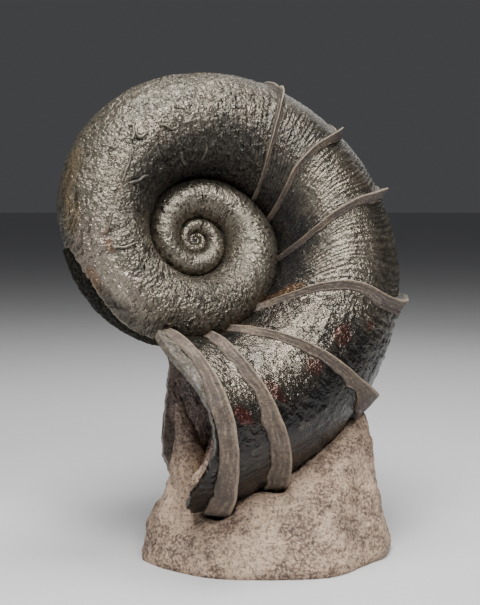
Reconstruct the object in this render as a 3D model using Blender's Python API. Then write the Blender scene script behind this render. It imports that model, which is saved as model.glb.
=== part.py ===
"""Fossil ammonite of the Lytoceras kind: a coiled shell with flared collars on its matrix stone.

Units are metres, +Z is up, and the viewer stands at -Y. The shell is one solid: a tube that
grows by a constant factor each turn, seven collars that stand out of it, and an open mouth.
The stone is the other solid. It carries the last half turn and reaches up into the mouth.
"""
import bmesh
import bpy
from math import ceil, cos, exp, pi, radians, sin
from mathutils import Matrix, Vector

# Place and tilt of the coil
COIL_CENTRE = Vector((-0.0293, 0.0072, 0.2140))
COIL_TURNED = radians(19.6)
COIL_LEANED_BACK = radians(16.4)

# Growth of the tube, counted in turns
START_DISTANCE = 0.01394
GROWTH_PER_TURN = 2.795
GROWTH_SLOWING = 0.0177
TUBE_TO_DISTANCE = 0.482
TUBE_WIDTH_TO_HEIGHT = 1.10
FIRST_CHAMBER = 0.0030
FIRST_CHAMBER_FLATNESS = 0.6
# Unevenness of growth: turn, change of distance, change of tube height
GROWTH_CHANGES = (
    (0.850, 0.0000, 0.0000),
    (1.000, 0.0523, 0.0437),
    (1.125, 0.0424, 0.0393),
    (1.250, 0.0532, 0.0504),
    (1.375, 0.0546, 0.0432),
    (1.500, 0.0444, 0.0137),
    (1.625, 0.0490, 0.0400),
    (1.750, 0.0305, 0.0105),
    (1.875, 0.0143, -0.0158),
    (2.000, 0.0119, -0.0308),
    (2.125, -0.0189, -0.0563),
    (2.250, -0.0031, -0.0486),
)
FIRST_TURN = -1.40
LAST_TURN = 2.345
INNER_STEPS_PER_TURN = 18
OUTER_STEPS_PER_TURN = 28
OUTER_WHORL_START = 1.0
TUBE_BEVEL_RESOLUTION = 8

# Collars: turn; slant, bow, third wave and side lean in turns; ramp length; crest width
COLLARS = (
    (1.8456, 0.0350, 0.0096, -0.0062, 0.0046, 0.0035, 0.0020),
    (1.9029, 0.0282, 0.0120, -0.0105, 0.0036, 0.0055, 0.0022),
    (1.9798, 0.0409, 0.0124, -0.0072, 0.0038, 0.0070, 0.0024),
    (2.0791, 0.0481, 0.0132, -0.0132, 0.0094, 0.0098, 0.0028),
    (2.1568, 0.0454, 0.0062, -0.0057, 0.0095, 0.0105, 0.0032),
    (2.2099, 0.0208, 0.0089, 0.0005, -0.0127, 0.0130, 0.0045),
    (2.2597, 0.0341, 0.0132, -0.0037, -0.0046, 0.0165, 0.0070),
)
COLLAR_HEIGHT = 0.11
COLLAR_HEIGHT_OUTSIDE = 0.05
COLLAR_RAMP_HEIGHT = 0.45
COLLAR_STEP_HEIGHT = 0.12
COLLAR_ROOT = 0.0040
COLLAR_STEPS = 30

# Mouth: turn, slant and bow of its edge, and the hollow behind it
MOUTH_TURN = 2.2590
MOUTH_SLANT = 0.0294
MOUTH_BOW = 0.0141
MOUTH_SIDE_LEAN = 0.22
MOUTH_CUT_REACH = (-1.06, 1.45)
MOUTH_CUT_STEPS = 14
MOUTH_CUT_TURNS = 0.12
MOUTH_CUT_AHEAD_STEPS = 4
MOUTH_CUT_HALF_WIDTH = 0.095
INNER_WHORL = (1.05, 1.60)
SKIM = 0.0002
WELD = 0.000005
HOLLOW_START = 2.217
HOLLOW_END = 2.380
HOLLOW_HEIGHT = 0.90
HOLLOW_WIDTH = 0.94
HOLLOW_SHIFT = 0.020

# Stone
GAP = 0.0003
GROUND_SIZE = 0.5
STONE_SIDES = 40
STONE_ROUNDNESS = 2.6
# Height, least x, greatest x, least y, greatest y of each level
STONE_LEVELS = (
    (-0.0100, -0.0685, 0.1050, -0.0851, 0.0829),
    (0.0060, -0.0675, 0.1040, -0.0841, 0.0819),
    (0.0220, -0.0605, 0.1000, -0.0781, 0.0779),
    (0.0420, -0.0358, 0.0972, -0.0651, 0.0729),
    (0.0640, 0.0182, 0.0952, -0.0451, 0.0649),
    (0.0820, 0.0532, 0.0927, -0.0241, 0.0529),
    (0.0920, 0.0702, 0.0902, -0.0091, 0.0409),
)
STONE_LUMPS = ((3, 0.030, 0.4), (5, 0.022, 2.1), (8, 0.012, 4.4))
# Stone pillar in the mouth: x, y, z, radius
PILLAR = (
    (-0.0455, -0.0321, -0.0140, 0.0270),
    (-0.0450, -0.0326, 0.0080, 0.0210),
    (-0.0440, -0.0331, 0.0280, 0.0150),
    (-0.0400, -0.0336, 0.0440, 0.0125),
    (-0.0357, -0.0341, 0.0570, 0.0120),
    (-0.0343, -0.0341, 0.0690, 0.0115),
    (-0.0357, -0.0336, 0.0820, 0.0090),
    (-0.0385, -0.0331, 0.0950, 0.0055),
    (-0.0405, -0.0326, 0.1080, 0.0028),
    (-0.0415, -0.0321, 0.1150, 0.0010),
)
PILLAR_BEVEL_RESOLUTION = 4


def ease(value):
    """Smooth step from 0 to 1."""
    value = min(max(value, 0.0), 1.0)
    return value * value * (3.0 - 2.0 * value)


def growth_change(turn, column):
    """Value of a column of GROWTH_CHANGES at a turn, eased from row to row."""
    value = GROWTH_CHANGES[0][column]
    for before, after in zip(GROWTH_CHANGES, GROWTH_CHANGES[1:]):
        part = ease((turn - before[0]) / (after[0] - before[0]))
        value += part * (after[column] - before[column])
    return value


def even_distance(turn):
    """Distance from the coil's axis that steady growth would give."""
    return START_DISTANCE * GROWTH_PER_TURN ** turn * exp(-GROWTH_SLOWING * turn * abs(turn))


def distance(turn):
    """Distance from the coil's axis to the middle of the tube."""
    return even_distance(turn) * (1.0 + growth_change(turn, 1))


def half_height(turn):
    """Half height of the tube, measured away from the coil's axis."""
    return TUBE_TO_DISTANCE * even_distance(turn) * (1.0 + growth_change(turn, 2))


def outward(turn):
    angle = -2.0 * pi * turn
    return Vector((cos(angle), sin(angle), 0.0))


def onward(turn):
    """Direction of growth, square to outward."""
    angle = -2.0 * pi * turn
    return Vector((sin(angle), -cos(angle), 0.0))


def edge_turn(psi, turn, slant, bow, third=0.0, side=0.0):
    """Turn of a slanting line round the tube; psi is 0 outside and a quarter turn in front."""
    waves = bow * cos(2.0 * psi) + third * cos(3.0 * psi)
    return turn - slant * cos(psi) + waves - side * sin(psi)


def tube_point(turn, psi, lift):
    """Point on the tube, lifted off its surface."""
    height = half_height(turn) + lift
    width = half_height(turn) * TUBE_WIDTH_TO_HEIGHT + lift
    place = outward(turn) * (distance(turn) + height * cos(psi))
    place.z = width * sin(psi)
    return place


def frame_matrix(axes, scales, place):
    matrix = Matrix.Identity(4)
    for column, (axis, scale) in enumerate(zip(axes, scales)):
        for row in range(3):
            matrix[row][column] = axis[row] * scale
    matrix.translation = place
    return matrix


def coil_matrix():
    """Coil plane to world: the coil's axis points at the viewer's right and up."""
    normal = Vector((
        sin(COIL_TURNED) * cos(COIL_LEANED_BACK),
        -cos(COIL_TURNED) * cos(COIL_LEANED_BACK),
        sin(COIL_LEANED_BACK),
    ))
    right = Vector((1.0, 0.0, 0.0))
    right = (right - right.dot(normal) * normal).normalized()
    return frame_matrix((right, normal.cross(right), normal), (1.0, 1.0, 1.0), COIL_CENTRE)


def new_collection(name):
    collection = bpy.data.collections.new(name)
    bpy.context.scene.collection.children.link(collection)
    return collection


def add_object(name, data, collection, matrix=None):
    thing = bpy.data.objects.new(name, data)
    collection.objects.link(thing)
    if matrix is not None:
        thing.matrix_world = matrix
    return thing


def make_guide(thing):
    thing.hide_render = True
    thing.display_type = 'WIRE'
    return thing


def curve_to_mesh(thing, widen=1.0):
    """Mesh object in place of a curve, its caps welded and its width set."""
    bpy.context.view_layer.update()
    graph = bpy.context.evaluated_depsgraph_get()
    mesh = bpy.data.meshes.new_from_object(thing.evaluated_get(graph))
    shape = bmesh.new()
    shape.from_mesh(mesh)
    bmesh.ops.remove_doubles(shape, verts=shape.verts, dist=1e-6)
    bmesh.ops.scale(shape, vec=(1.0, 1.0, widen), verts=shape.verts)
    bmesh.ops.recalc_face_normals(shape, faces=shape.faces)
    shape.to_mesh(mesh)
    shape.free()
    collection = thing.users_collection[0]
    name = thing.name
    matrix = thing.matrix_world.copy()
    bpy.data.objects.remove(thing)
    mesh.name = name
    return add_object(name, mesh, collection, matrix)


def make_tube(name, turns, radius, shift, widen, collection, matrix):
    """Tube along the coil; shift moves it outward by a part of its distance."""
    curve = bpy.data.curves.new(name + '_path', 'CURVE')
    curve.dimensions = '3D'
    path = curve.splines.new('POLY')
    path.points.add(len(turns) - 1)
    for point, turn in zip(path.points, turns):
        place = outward(turn) * distance(turn) * (1.0 + shift)
        point.co = (place.x, place.y, 0.0, 1.0)
        point.radius = radius(turn)
    curve.bevel_depth = 1.0
    curve.bevel_resolution = TUBE_BEVEL_RESOLUTION
    curve.use_fill_caps = True
    curve.twist_mode = 'Z_UP'
    return curve_to_mesh(add_object(name, curve, collection, matrix), widen)


def make_first_chamber(name, grow, collection, matrix):
    """Flattened ball that the coil starts from."""
    shape = bmesh.new()
    bmesh.ops.create_icosphere(shape, subdivisions=2, radius=FIRST_CHAMBER + grow)
    bmesh.ops.scale(shape, vec=(1.0, 1.0, FIRST_CHAMBER_FLATNESS), verts=shape.verts)
    mesh = bpy.data.meshes.new(name)
    shape.to_mesh(mesh)
    shape.free()
    return add_object(name, mesh, collection, matrix)


def even_turns(first, last, steps_per_turn):
    """Turns from first to last, at least as close as steps_per_turn."""
    steps = ceil((last - first) * steps_per_turn)
    return [first + (last - first) * step / steps for step in range(steps + 1)]


def whorl_turns():
    """Turns of the tube's sections: coarse inside, finer on the outer whorl."""
    inner = even_turns(FIRST_TURN, OUTER_WHORL_START, INNER_STEPS_PER_TURN)
    return inner[:-1] + even_turns(OUTER_WHORL_START, LAST_TURN, OUTER_STEPS_PER_TURN)


def collar_profile(psi, collar, grow):
    """Section of a collar as (turn, lift): steep behind, a crest, and a ramp in front."""
    turn, slant, bow, third, side, ramp, crest = collar
    middle = edge_turn(psi, turn, slant, bow, third, side)
    height = (COLLAR_HEIGHT + COLLAR_HEIGHT_OUTSIDE * cos(psi)) * half_height(middle)
    section = (
        (-0.5 * crest - grow, -COLLAR_ROOT),
        (-0.5 * crest - grow, height + grow),
        (0.5 * crest + grow, height + grow),
        (0.5 * (crest + ramp) + grow, height * COLLAR_RAMP_HEIGHT + grow),
        (ramp + grow, height * COLLAR_STEP_HEIGHT + grow),
        (ramp + grow, -COLLAR_ROOT),
    )
    length = 2.0 * pi * distance(middle)
    return [(middle + along / length, lift) for along, lift in section]


def make_collar(name, collar, grow, collection, matrix):
    """Closed ring round the tube: one collar section after another."""
    shape = bmesh.new()
    rings = []
    for step in range(COLLAR_STEPS):
        psi = 2.0 * pi * step / COLLAR_STEPS
        points = [tube_point(turn, psi, lift) for turn, lift in collar_profile(psi, collar, grow)]
        rings.append([shape.verts.new(point) for point in points])
    for ring, following in zip(rings, rings[1:] + rings[:1]):
        for corner in range(len(ring)):
            after = (corner + 1) % len(ring)
            shape.faces.new((ring[corner], ring[after], following[after], following[corner]))
    bmesh.ops.recalc_face_normals(shape, faces=shape.faces)
    mesh = bpy.data.meshes.new(name)
    shape.to_mesh(mesh)
    shape.free()
    return add_object(name, mesh, collection, matrix)


def make_mouth_cut(name, grow, collection, matrix):
    """Plate that takes away the tube past the mouth's edge and leans back on the far side."""
    inner, outer = MOUTH_CUT_REACH
    outline = []
    for step in range(MOUTH_CUT_STEPS + 1):
        across = inner + (outer - inner) * step / MOUTH_CUT_STEPS
        turn = MOUTH_TURN - MOUTH_SLANT * across + MOUTH_BOW * (2.0 * across ** 2 - 1.0)
        turn += grow / (2.0 * pi * distance(turn))
        outline.append((turn, across))
    ahead = [MOUTH_CUT_TURNS * step / MOUTH_CUT_AHEAD_STEPS for step in range(1, MOUTH_CUT_AHEAD_STEPS + 1)]
    first_turn, last_turn = outline[0][0], outline[-1][0]
    outline += [(last_turn + turn, outer) for turn in ahead]
    outline += [(first_turn + turn, inner) for turn in reversed(ahead)]
    curve = bpy.data.curves.new(name + '_outline', 'CURVE')
    curve.dimensions = '2D'
    curve.fill_mode = 'BOTH'
    curve.extrude = MOUTH_CUT_HALF_WIDTH
    path = curve.splines.new('POLY')
    path.use_cyclic_u = True
    path.points.add(len(outline) - 1)
    for point, (turn, across) in zip(path.points, outline):
        place = outward(turn) * (distance(turn) + across * half_height(turn))
        point.co = (place.x, place.y, 0.0, 1.0)
    plate = curve_to_mesh(add_object(name, curve, collection, matrix))
    for vertex in plate.data.vertices:
        vertex.co += onward(MOUTH_TURN) * vertex.co.z * MOUTH_SIDE_LEAN
    return plate


def cut_or_join(target, operation, tool=None, tools=None, overlaps_itself=False):
    step = target.modifiers.new(operation.lower(), 'BOOLEAN')
    step.operation = operation
    step.solver = 'EXACT'
    step.use_self = overlaps_itself
    if tools is None:
        step.object = tool
    else:
        step.operand_type = 'COLLECTION'
        step.collection = tools
    return step


def settle(thing):
    """Take the modifiers' result as the object's mesh, with its tiniest edges welded."""
    bpy.context.view_layer.update()
    graph = bpy.context.evaluated_depsgraph_get()
    mesh = bpy.data.meshes.new_from_object(thing.evaluated_get(graph))
    shape = bmesh.new()
    shape.from_mesh(mesh)
    bmesh.ops.triangulate(shape, faces=shape.faces)
    bmesh.ops.remove_doubles(shape, verts=shape.verts, dist=WELD)
    bmesh.ops.dissolve_degenerate(shape, edges=shape.edges, dist=WELD)
    bmesh.ops.triangulate(shape, faces=shape.faces)
    shape.to_mesh(mesh)
    shape.free()
    thing.modifiers.clear()
    thing.data = mesh
    return thing


def make_shell(name, grow, collection, guides, matrix):
    """Whole shell; grow makes it thicker everywhere, for cutting its bed in the stone."""
    shell = make_tube(
        name, whorl_turns(), lambda turn: half_height(turn) + grow, 0.0,
        TUBE_WIDTH_TO_HEIGHT, collection, matrix)
    additions = bpy.data.collections.new(name + '_additions')
    guides.children.link(additions)
    make_guide(make_first_chamber(name + '_first_chamber', grow, additions, matrix))
    for number, collar in enumerate(COLLARS, 1):
        make_guide(make_collar(f'{name}_collar_{number}', collar, grow, additions, matrix))
    cut_or_join(shell, 'UNION', tools=additions, overlaps_itself=True)

    mouth = make_guide(make_mouth_cut(name + '_mouth_cut', grow, guides, matrix))
    whorl = make_guide(make_tube(
        name + '_inner_whorl', even_turns(*INNER_WHORL, OUTER_STEPS_PER_TURN),
        lambda turn: half_height(turn) + grow - SKIM, 0.0, TUBE_WIDTH_TO_HEIGHT, guides, matrix))
    cut_or_join(mouth, 'DIFFERENCE', whorl)
    settle(mouth)
    cut_or_join(shell, 'DIFFERENCE', mouth)

    hollow = make_guide(make_tube(
        name + '_hollow', even_turns(HOLLOW_START, HOLLOW_END, OUTER_STEPS_PER_TURN),
        lambda turn: HOLLOW_HEIGHT * half_height(turn) - grow,
        HOLLOW_SHIFT, TUBE_WIDTH_TO_HEIGHT * HOLLOW_WIDTH / HOLLOW_HEIGHT, guides, matrix))
    cut_or_join(shell, 'DIFFERENCE', hollow)
    return settle(shell)


def stone_outline(level):
    """Closed outline of one level: a squarish oval with broad lumps."""
    height, low_x, high_x, low_y, high_y = level
    points = []
    for step in range(STONE_SIDES):
        angle = 2.0 * pi * step / STONE_SIDES
        power = 2.0 / STONE_ROUNDNESS
        across = abs(cos(angle)) ** power * (1 if cos(angle) > 0 else -1)
        along = abs(sin(angle)) ** power * (1 if sin(angle) > 0 else -1)
        swell = 1.0
        for waves, size, offset in STONE_LUMPS:
            swell += size * sin(waves * angle + offset + 9.0 * height)
        x = (low_x + high_x) / 2.0 + (high_x - low_x) / 2.0 * across * swell
        y = (low_y + high_y) / 2.0 + (high_y - low_y) / 2.0 * along * swell
        points.append((x, y, height))
    return points


def make_stone_mound(name, collection):
    """Loft through the levels, from below the cut that it rests on."""
    shape = bmesh.new()
    rings = [[shape.verts.new(point) for point in stone_outline(level)] for level in STONE_LEVELS]
    for lower, upper in zip(rings, rings[1:]):
        for step in range(STONE_SIDES):
            after = (step + 1) % STONE_SIDES
            shape.faces.new((lower[step], lower[after], upper[after], upper[step]))
    shape.faces.new(list(reversed(rings[0])))
    shape.faces.new(rings[-1])
    mesh = bpy.data.meshes.new(name)
    shape.to_mesh(mesh)
    shape.free()
    return add_object(name, mesh, collection)


def make_pillar(name, collection):
    """Stone pillar: a tapering tube that rises from the base into the mouth."""
    curve = bpy.data.curves.new(name + '_path', 'CURVE')
    curve.dimensions = '3D'
    path = curve.splines.new('POLY')
    path.points.add(len(PILLAR) - 1)
    for point, (x, y, z, radius) in zip(path.points, PILLAR):
        point.co = (x, y, z, 1.0)
        point.radius = radius
    curve.bevel_depth = 1.0
    curve.bevel_resolution = PILLAR_BEVEL_RESOLUTION
    curve.use_fill_caps = True
    return curve_to_mesh(add_object(name, curve, collection))


def make_ground(name, collection):
    """Block below z = 0, which cuts the stone off flat."""
    shape = bmesh.new()
    bmesh.ops.create_cube(shape, size=GROUND_SIZE)
    bmesh.ops.translate(shape, vec=(0.0, 0.0, -GROUND_SIZE / 2.0), verts=shape.verts)
    mesh = bpy.data.meshes.new(name)
    shape.to_mesh(mesh)
    shape.free()
    return add_object(name, mesh, collection)


def make_stone(name, collection, guides, matrix):
    stone = make_stone_mound(name, collection)
    pillar = make_guide(make_pillar(name + '_pillar', guides))
    ground = make_guide(make_ground(name + '_ground', guides))
    bed = make_guide(make_shell(name + '_bed', GAP, guides, guides, matrix))
    cut_or_join(stone, 'UNION', pillar)
    cut_or_join(stone, 'DIFFERENCE', ground)
    cut_or_join(stone, 'DIFFERENCE', bed)
    return settle(stone)


def finish(thing, name, colour, roughness, metallic, smooth_angle):
    material = bpy.data.materials.new(name)
    material.use_nodes = True
    shader = material.node_tree.nodes['Principled BSDF']
    shader.inputs['Base Color'].default_value = (*colour, 1.0)
    shader.inputs['Roughness'].default_value = roughness
    shader.inputs['Metallic'].default_value = metallic
    thing.data.materials.clear()
    thing.data.materials.append(material)
    thing.data.shade_smooth()
    thing.data.set_sharp_from_angle(angle=radians(smooth_angle))


def build():
    for thing in list(bpy.data.objects):
        bpy.data.objects.remove(thing)
    parts = new_collection('fossil_ammonite')
    guides = new_collection('guides')
    matrix = coil_matrix()
    shell = make_shell('ammonite_shell', 0.0, parts, guides, matrix)
    finish(shell, 'fossil_shell', (0.115, 0.105, 0.085), 0.42, 0.15, 40.0)
    stone = make_stone('matrix_stone', parts, guides, matrix)
    finish(stone, 'pale_limestone', (0.44, 0.37, 0.32), 0.90, 0.0, 30.0)


build()
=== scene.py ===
"""Visual model of a fossil ammonite with flared collars on its matrix stone.

Sizes are metres in the frame's own axes: +Z up, the viewer at -Y. A place on the shell is given by
its turn, counted outward along the coil, and by its angle round the tube: 0 is the outer rim,
90 degrees the near flank, 180 the inner side, 270 the far flank.
"""
from math import cos, e, log, pi, radians, sin

import bmesh
import bpy
import numpy as np
from mathutils import Matrix, Vector


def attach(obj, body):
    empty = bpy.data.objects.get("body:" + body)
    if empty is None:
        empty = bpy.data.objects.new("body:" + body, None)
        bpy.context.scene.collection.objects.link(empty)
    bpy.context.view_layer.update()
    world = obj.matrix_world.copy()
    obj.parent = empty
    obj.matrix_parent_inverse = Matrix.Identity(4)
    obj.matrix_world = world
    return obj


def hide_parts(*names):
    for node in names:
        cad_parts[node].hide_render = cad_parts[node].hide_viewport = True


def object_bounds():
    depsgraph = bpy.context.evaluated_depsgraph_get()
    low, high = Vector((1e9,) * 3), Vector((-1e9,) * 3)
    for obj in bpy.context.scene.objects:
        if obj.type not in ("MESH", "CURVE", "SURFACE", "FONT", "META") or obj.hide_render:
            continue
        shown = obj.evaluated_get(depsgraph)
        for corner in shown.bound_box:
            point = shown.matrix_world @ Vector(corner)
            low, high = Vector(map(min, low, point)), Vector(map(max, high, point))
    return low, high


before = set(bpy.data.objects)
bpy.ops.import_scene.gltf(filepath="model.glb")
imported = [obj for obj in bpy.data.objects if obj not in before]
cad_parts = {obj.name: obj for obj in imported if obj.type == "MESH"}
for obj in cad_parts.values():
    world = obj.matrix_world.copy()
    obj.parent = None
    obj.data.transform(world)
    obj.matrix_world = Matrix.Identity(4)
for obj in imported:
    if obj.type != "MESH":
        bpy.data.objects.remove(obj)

CAD_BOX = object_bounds()

# Place and tilt of the coil
COIL_CENTRE = Vector((-0.0293, 0.0072, 0.2140))
COIL_TURNED = radians(19.6)
COIL_LEANED_BACK = radians(16.4)

# Growth of the tube
START_DISTANCE = 0.01394
GROWTH_PER_TURN = 2.795
GROWTH_SLOWING = 0.0177
TUBE_TO_DISTANCE = 0.482
TUBE_WIDTH_TO_HEIGHT = 1.10
# Unevenness of growth: turn, change of distance, change of tube height
GROWTH_CHANGES = (
    (0.850, 0.0000, 0.0000),
    (1.000, 0.0523, 0.0437),
    (1.125, 0.0424, 0.0393),
    (1.250, 0.0532, 0.0504),
    (1.375, 0.0546, 0.0432),
    (1.500, 0.0444, 0.0137),
    (1.625, 0.0490, 0.0400),
    (1.750, 0.0305, 0.0105),
    (1.875, 0.0143, -0.0158),
    (2.000, 0.0119, -0.0308),
    (2.125, -0.0189, -0.0563),
    (2.250, -0.0031, -0.0486),
)
FIRST_TURN = -2.40

# A slanting line round the tube, all in turns: place, slant, bow, third wave and side lean
LINE_NAMES = ('Turn', 'Slant', 'Bow', 'Third', 'Side')
COLLARS = (
    (1.8456, 0.0350, 0.0096, -0.0062, 0.0046),
    (1.9029, 0.0282, 0.0120, -0.0105, 0.0036),
    (1.9798, 0.0409, 0.0124, -0.0072, 0.0038),
    (2.0791, 0.0481, 0.0132, -0.0132, 0.0094),
    (2.1568, 0.0454, 0.0062, -0.0057, 0.0095),
    (2.2099, 0.0208, 0.0089, 0.0005, -0.0127),
    (2.2597, 0.0341, 0.0132, -0.0037, -0.0046),
)
COLLAR_HEIGHT = 0.11
COLLAR_HEIGHT_OUTSIDE = 0.05
# Worn form of each collar: length in metres of the ramp before its crest and of the crest; angle of
# its ragged tip in degrees, extra height there, what is left of the height past it, widening there
COLLAR_FORMS = (
    (0.0030, 0.0013, 48.0, 0.03, 0.70, 0.0),
    (0.0042, 0.0016, 54.0, 0.09, 0.25, 0.0),
    (0.0048, 0.0017, 50.0, 0.09, 0.30, 0.1),
    (0.0065, 0.0020, 38.0, 0.03, 0.95, 0.6),
    (0.0068, 0.0022, 22.0, 0.02, 0.85, 1.7),
    (0.0098, 0.0026, 10.0, 0.00, 1.00, 0.0),
    (0.0108, 0.0030, 10.0, 0.00, 1.00, 0.0),
)
FIRST_COLLAR, FOURTH_COLLAR = COLLARS[0], COLLARS[3]
# The mouth's edge as a slanting line, and its lobes: middle, half width, reach in turns
MOUTH_LINE = (2.2610, 0.0294, 0.0141, 0.0, -0.0176)
LOWER_LOBE = (radians(28.0), radians(30.0), 0.0120)
UPPER_LOBE = (radians(142.0), radians(28.0), 0.0240)
FAR_LOBE = (radians(-75.0), radians(38.0), 0.0305)
FAR_NOTCH = (radians(-150.0), radians(28.0), -0.0170)


class Field:
    """A node's output, written in sums and products as a number is."""

    def __init__(self, socket):
        self.socket = socket

    def maths(self, operation, *others):
        node = self.socket.id_data.nodes.new('ShaderNodeMath')
        node.operation = operation
        for socket, item in zip(node.inputs, (self, *others)):
            put(socket, item)
        return Field(node.outputs[0])

    def __add__(self, other):
        return self.maths('ADD', other)

    def __sub__(self, other):
        return self.maths('SUBTRACT', other)

    def __rsub__(self, other):
        return self.maths('MULTIPLY', -1.0) + other

    def __mul__(self, other):
        return self.maths('MULTIPLY', other)

    def __truediv__(self, other):
        return self.maths('DIVIDE', other)

    def __rtruediv__(self, other):
        return self.maths('POWER', -1.0) * other

    def __abs__(self):
        return self.maths('ABSOLUTE')

    __radd__ = __add__
    __rmul__ = __mul__

    def clamp(self, low=0.0, high=1.0):
        return self.maths('MAXIMUM', low).maths('MINIMUM', high)

    def ramp(self, low, high, to_low=0.0, to_high=1.0):
        """Smooth step from to_low at low to to_high at high."""
        node = self.socket.id_data.nodes.new('ShaderNodeMapRange')
        node.interpolation_type = 'SMOOTHSTEP'
        feed(node.inputs, Value=self, From_Min=low, From_Max=high, To_Min=to_low, To_Max=to_high)
        return Field(node.outputs['Result'])


def put(socket, item):
    """Feed a socket with a field or a plain value."""
    if isinstance(item, Field):
        socket.id_data.links.new(item.socket, socket)
    else:
        socket.default_value = item


def feed(sockets, **items):
    """Feed sockets by their names, with _ for a space."""
    for label, item in items.items():
        put(sockets[label.replace('_', ' ')], item)


def vector(tree, x, y, z=0.0):
    node = tree.nodes.new('ShaderNodeCombineXYZ')
    for socket, item in zip(node.inputs, (x, y, z)):
        put(socket, item)
    return Field(node.outputs[0])


def parts(field):
    node = field.socket.id_data.nodes.new('ShaderNodeSeparateXYZ')
    put(node.inputs[0], field)
    return [Field(socket) for socket in node.outputs]


def vector_maths(operation, first, second):
    node = first.socket.id_data.nodes.new('ShaderNodeVectorMath')
    node.operation = operation
    put(node.inputs[0], first)
    put(node.inputs['Scale' if operation == 'SCALE' else 1], second)
    return Field(node.outputs['Vector'])


def noise(place, scale, detail=3.0, roughness=0.55):
    """Noise between about -0.5 and 0.5."""
    node = place.socket.id_data.nodes.new('ShaderNodeTexNoise')
    feed(node.inputs, Vector=place, Scale=scale, Detail=detail, Roughness=roughness)
    return Field(node.outputs[0]) - 0.5


def warp(place, scale, amount):
    """Place pushed about by noise, as a point."""
    node = place.socket.id_data.nodes.new('ShaderNodeTexNoise')
    feed(node.inputs, Vector=place, Scale=scale, Detail=2.0)
    push = vector_maths('SUBTRACT', Field(node.outputs[1]), (0.5, 0.5, 0.5))
    return vector_maths('ADD', place, vector_maths('SCALE', push, amount))


def ridges(place, scale, detail, sharpness):
    """Winding ridges: 1 on their crests, where the noise is zero, and 0 between them."""
    return (1.0 - abs(noise(place, scale, detail, 0.5)) * sharpness).clamp()


def cells(place, scale):
    """Distance to the middle of the nearest of many cells, from 0 to about 1."""
    node = place.socket.id_data.nodes.new('ShaderNodeTexVoronoi')
    feed(node.inputs, Vector=place, Scale=scale)
    return Field(node.outputs['Distance'])


def new_tree(name, kind, inputs, outputs):
    """Node group whose sockets are given by name, each with its usual value or with its type.

    Returns the tree and its inputs as fields.
    """
    tree = bpy.data.node_groups.new(name, kind)
    for side, sockets in (('INPUT', inputs), ('OUTPUT', outputs)):
        for label, value in sockets.items():
            socket_type = {float: 'Float', int: 'Int', str: value}[type(value)]
            socket = tree.interface.new_socket(label, in_out=side, socket_type=f'NodeSocket{socket_type}')
            if not isinstance(value, str):
                socket.default_value = value
    entry = tree.nodes.new('NodeGroupInput')
    tree.nodes.new('NodeGroupOutput').name = 'Exit'
    return tree, {socket.name: Field(socket) for socket in entry.outputs if socket.name}


def new_shape_tree(name, inputs):
    return new_tree(name, 'GeometryNodeTree', inputs, {'Geometry': 'Geometry'})


def finish_tree(tree, **results):
    feed(tree.nodes['Exit'].inputs, **results)
    return tree


def place_group(tree, group, **inputs):
    """Use of a node group inside another tree; returns its outputs by name."""
    kind = 'GeometryNodeGroup' if tree.bl_idname == 'GeometryNodeTree' else 'ShaderNodeGroup'
    node = tree.nodes.new(kind)
    node.node_tree = group
    feed(node.inputs, **inputs)
    return {socket.name: Field(socket) for socket in node.outputs}


def then(tree, kind, geometry, settings=(), **inputs):
    """Next step of a geometry tree: adds a node, feeds it and returns its geometry."""
    node = tree.nodes.new('GeometryNode' + kind)
    for name, value in dict(settings).items():
        setattr(node, name, value)
    if geometry is not None:
        put(node.inputs['Geometry'], geometry)
    feed(node.inputs, **inputs)
    return Field(node.outputs[0])


def point_place(tree):
    return Field(tree.nodes.new('GeometryNodeInputPosition').outputs[0])


def coil_matrix():
    normal = Vector((
        sin(COIL_TURNED) * cos(COIL_LEANED_BACK),
        -cos(COIL_TURNED) * cos(COIL_LEANED_BACK),
        sin(COIL_LEANED_BACK),
    ))
    right = Vector((1.0, 0.0, 0.0))
    right = (right - right.dot(normal) * normal).normalized()
    rotation = Matrix((right, normal.cross(right), normal)).transposed()
    return Matrix.Translation(COIL_CENTRE) @ rotation.to_4x4()


COIL_MATRIX = coil_matrix()


def growth_group():
    """Distance and half height of the tube at a turn, as nodes."""
    tree, given = new_tree(
        'Coil growth', 'GeometryNodeTree', {'Turn': 0.0}, {'Distance': 0.0, 'Half Height': 0.0})
    turn = given['Turn']
    slowing = turn * abs(turn) * GROWTH_SLOWING
    even = (turn * log(GROWTH_PER_TURN) - slowing).maths('EXPONENT') * START_DISTANCE
    changes = []
    for column in (1, 2):
        total = 1.0
        for before, after in zip(GROWTH_CHANGES, GROWTH_CHANGES[1:]):
            total += turn.ramp(before[0], after[0], 0.0, after[column] - before[column])
        changes.append(total)
    return finish_tree(tree, Distance=even * changes[0], Half_Height=even * TUBE_TO_DISTANCE * changes[1])


def tube_point_group(growth):
    """Point on the tube in the coil's own axes; Part shrinks the tube towards its middle line."""
    tree, given = new_tree(
        'Tube point', 'GeometryNodeTree',
        {'Turn': 0.0, 'Around': 0.0, 'Lift': 0.0, 'Part': 1.0},
        {'Position': 'Vector', 'Half Height': 0.0, 'Distance': 0.0})
    turn, around = given['Turn'], given['Around']
    grown = place_group(tree, growth, Turn=turn)
    height = (grown['Half Height'] + given['Lift']) * given['Part']
    width = (grown['Half Height'] * TUBE_WIDTH_TO_HEIGHT + given['Lift']) * given['Part']
    reach = grown['Distance'] + height * around.maths('COSINE')
    angle = turn * (-2.0 * pi)
    position = vector(
        tree, reach * angle.maths('COSINE'), reach * angle.maths('SINE'), width * around.maths('SINE'))
    return finish_tree(
        tree, Position=position, Half_Height=grown['Half Height'], Distance=grown['Distance'])


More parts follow.
